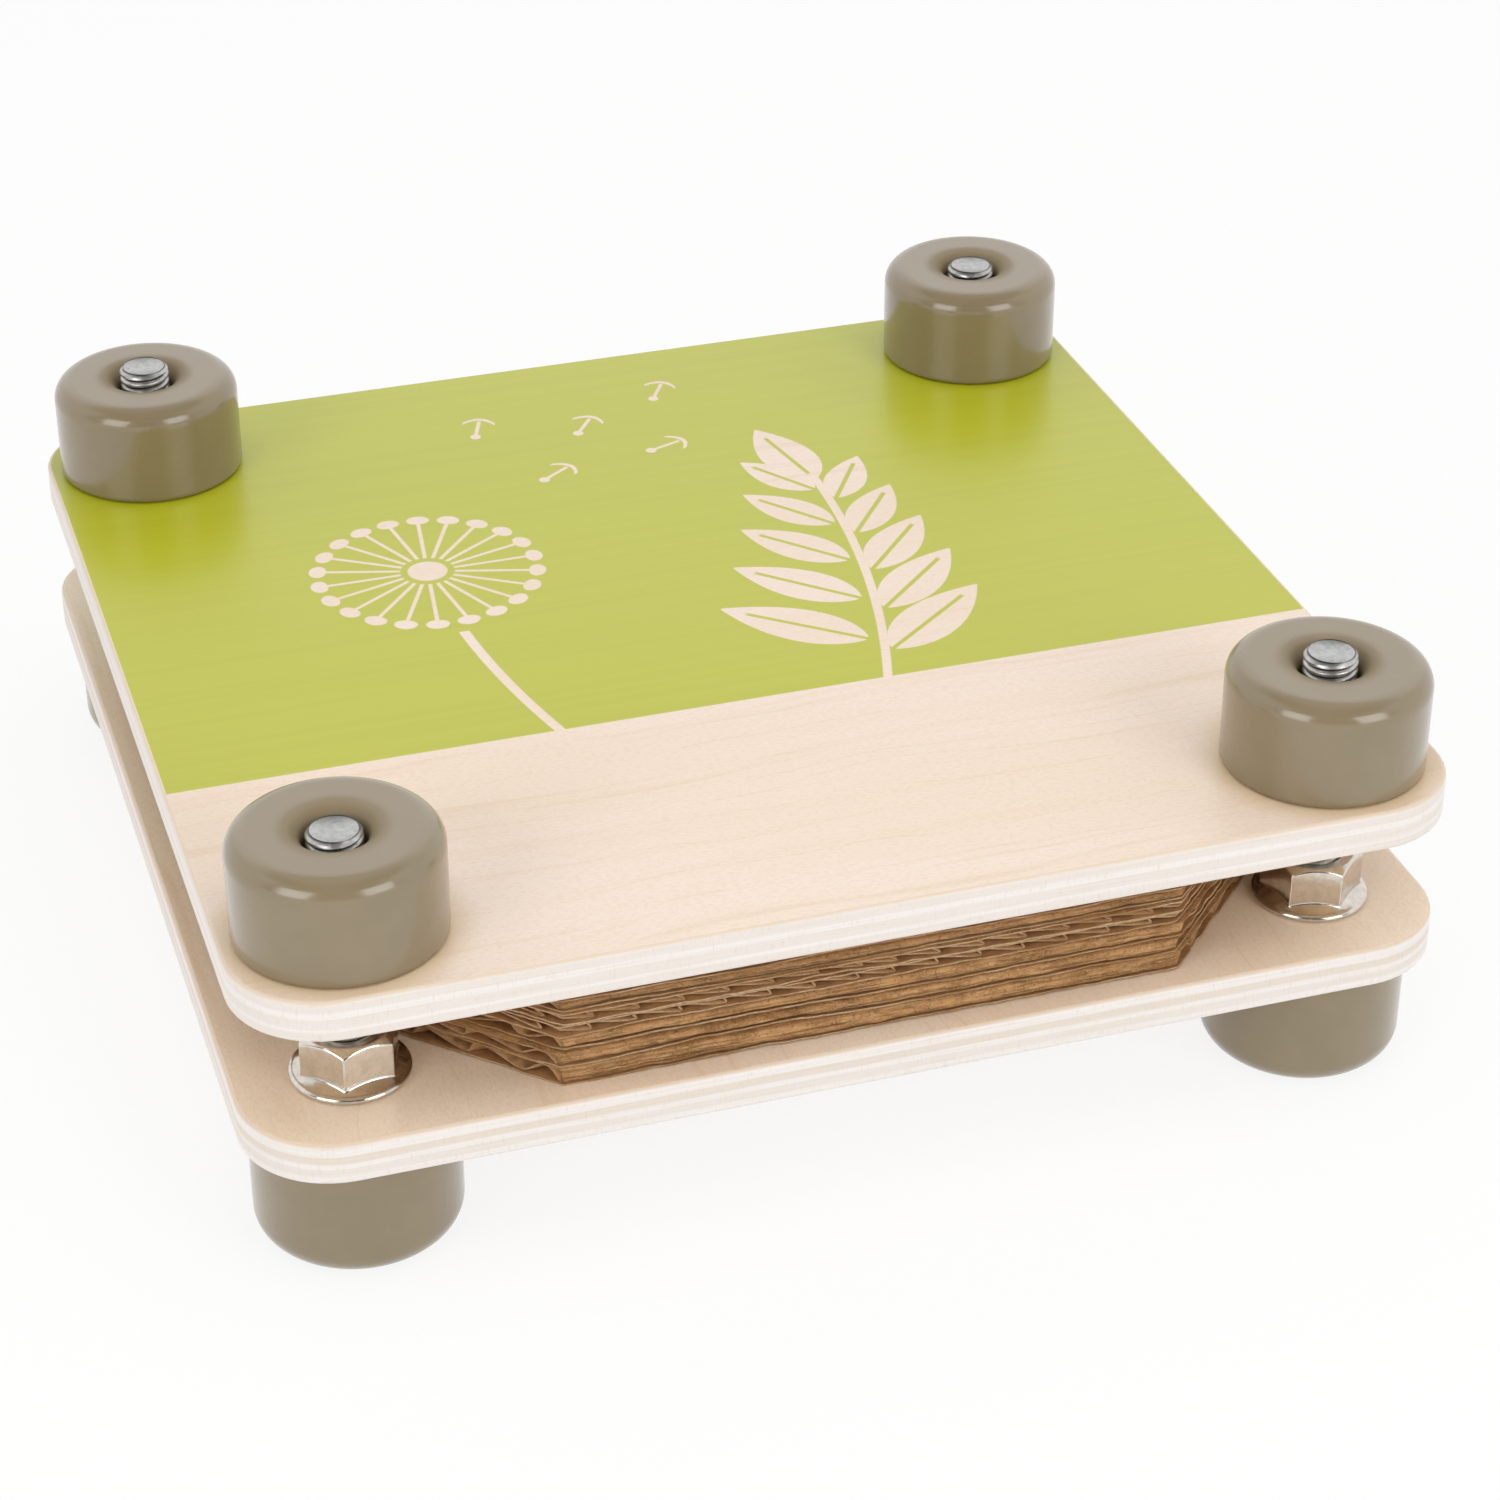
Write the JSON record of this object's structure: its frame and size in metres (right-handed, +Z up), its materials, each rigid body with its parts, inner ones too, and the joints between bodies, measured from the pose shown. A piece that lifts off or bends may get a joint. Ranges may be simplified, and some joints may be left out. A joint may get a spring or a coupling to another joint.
{
  "type": "flower press",
  "caption": "Square plywood press with turned screw knobs and feet, flange nuts, and a stack of corner-cut corrugated card sheets between its boards.",
  "frame": {"origin": "centre of the footprint, on the surface that the four feet stand on", "axes": "+Z up along the bolts, +Y from the bare strip of the top board to its printed back part, +X to the right when the bare strip is in front"},
  "size_m": [0.18, 0.18, 0.0672],
  "materials": {
    "plywood": "sanded light plywood, thin clear coat, pale plies on the edges",
    "printed_plywood": "light plywood, the back part of the top printed matt yellow-green",
    "lacquered_wood": "turned wood under satin taupe lacquer",
    "bolt_steel": "zinc-plated steel with a turned end",
    "nickel_plate": "bright nickel plate",
    "corrugated_card": "brown kraft corrugated card"
  },
  "bodies": {
    "base": {"bottom_board": "plywood", "foot_front_left": "lacquered_wood", "foot_front_right": "lacquered_wood", "foot_back_left": "lacquered_wood", "foot_back_right": "lacquered_wood", "bolt_front_left": "bolt_steel", "bolt_front_right": "bolt_steel", "bolt_back_left": "bolt_steel", "bolt_back_right": "bolt_steel", "flange_nut_front_left": "nickel_plate", "flange_nut_front_right": "nickel_plate", "flange_nut_back_left": "nickel_plate", "flange_nut_back_right": "nickel_plate"},
    "card_sheet_1": {"card_sheet_1": "corrugated_card"},
    "card_sheet_2": {"card_sheet_2": "corrugated_card"},
    "card_sheet_3": {"card_sheet_3": "corrugated_card"},
    "card_sheet_4": {"card_sheet_4": "corrugated_card"},
    "card_sheet_5": {"card_sheet_5": "corrugated_card"},
    "card_sheet_6": {"card_sheet_6": "corrugated_card"},
    "card_sheet_7": {"card_sheet_7": "corrugated_card"},
    "top_board": {"top_board": "printed_plywood"},
    "knob_front_left": {"knob_front_left": "lacquered_wood", "knob_insert_front_left": "nickel_plate"},
    "knob_front_right": {"knob_front_right": "lacquered_wood", "knob_insert_front_right": "nickel_plate"},
    "knob_back_left": {"knob_back_left": "lacquered_wood", "knob_insert_back_left": "nickel_plate"},
    "knob_back_right": {"knob_back_right": "lacquered_wood", "knob_insert_back_right": "nickel_plate"}
  },
  "joints": [
    {"name": "card_sheet_1_lift", "type": "slide", "parent": "base", "child": "card_sheet_1", "axis": [0, 0, 1], "range_m": [0, 0.002]},
    {"name": "card_sheet_2_lift", "type": "slide", "parent": "card_sheet_1", "child": "card_sheet_2", "axis": [0, 0, 1], "range_m": [0, 0.002]},
    {"name": "card_sheet_3_lift", "type": "slide", "parent": "card_sheet_2", "child": "card_sheet_3", "axis": [0, 0, 1], "range_m": [0, 0.002]},
    {"name": "card_sheet_4_lift", "type": "slide", "parent": "card_sheet_3", "child": "card_sheet_4", "axis": [0, 0, 1], "range_m": [0, 0.002]},
    {"name": "card_sheet_5_lift", "type": "slide", "parent": "card_sheet_4", "child": "card_sheet_5", "axis": [0, 0, 1], "range_m": [0, 0.002]},
    {"name": "card_sheet_6_lift", "type": "slide", "parent": "card_sheet_5", "child": "card_sheet_6", "axis": [0, 0, 1], "range_m": [0, 0.002]},
    {"name": "card_sheet_7_lift", "type": "slide", "parent": "card_sheet_6", "child": "card_sheet_7", "axis": [0, 0, 1], "range_m": [0, 0.002]},
    {"name": "top_board_lift", "type": "slide", "parent": "card_sheet_7", "child": "top_board", "axis": [0, 0, 1], "range_m": [0, 0.0125]},
    {"name": "knob_front_left_spin", "type": "hinge", "parent": "top_board", "child": "knob_front_left", "pos_m": [-0.073, -0.073, 0.0574], "axis": [0, 0, 1], "range_deg": [0, 3600]},
    {"name": "knob_front_right_spin", "type": "hinge", "parent": "top_board", "child": "knob_front_right", "pos_m": [0.073, -0.073, 0.0574], "axis": [0, 0, 1], "range_deg": [0, 3600]},
    {"name": "knob_back_left_spin", "type": "hinge", "parent": "top_board", "child": "knob_back_left", "pos_m": [-0.073, 0.073, 0.0574], "axis": [0, 0, 1], "range_deg": [0, 3600]},
    {"name": "knob_back_right_spin", "type": "hinge", "parent": "top_board", "child": "knob_back_right", "pos_m": [0.073, 0.073, 0.0574], "axis": [0, 0, 1], "range_deg": [0, 3600]}
  ],
  "couplings": [
    {"joint": "top_board_lift", "follows": "knob_front_left_spin", "m_per_rad": 0.00019894},
    {"joint": "knob_front_right_spin", "follows": "knob_front_left_spin", "ratio": 1},
    {"joint": "knob_back_left_spin", "follows": "knob_front_left_spin", "ratio": 1},
    {"joint": "knob_back_right_spin", "follows": "knob_front_left_spin", "ratio": 1}
  ]
}
